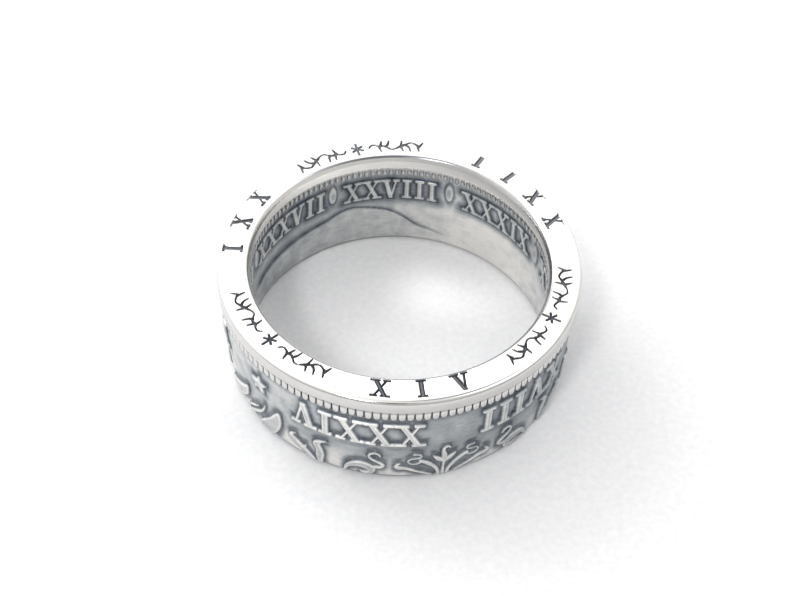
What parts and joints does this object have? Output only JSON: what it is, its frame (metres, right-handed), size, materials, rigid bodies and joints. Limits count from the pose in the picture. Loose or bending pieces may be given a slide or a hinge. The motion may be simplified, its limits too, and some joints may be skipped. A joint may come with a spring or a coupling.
{
  "type": "coin ring",
  "caption": "Silver finger ring folded from a coin: flat polished rim with struck marks, beading, raised numerals and scrollwork on a darkened band.",
  "frame": {"origin": "centre of the ring on the surface it lies on, under its foot", "axes": "+Z along the ring's axis from the foot to the rim; -Y towards the side that the picture shows in front"},
  "size_m": [0.025, 0.025, 0.0088],
  "materials": {
    "silver": "polished rim, relief oxidised dark in the recesses"
  },
  "bodies": {
    "root": {"coin_band": "silver"}
  },
  "joints": []
}
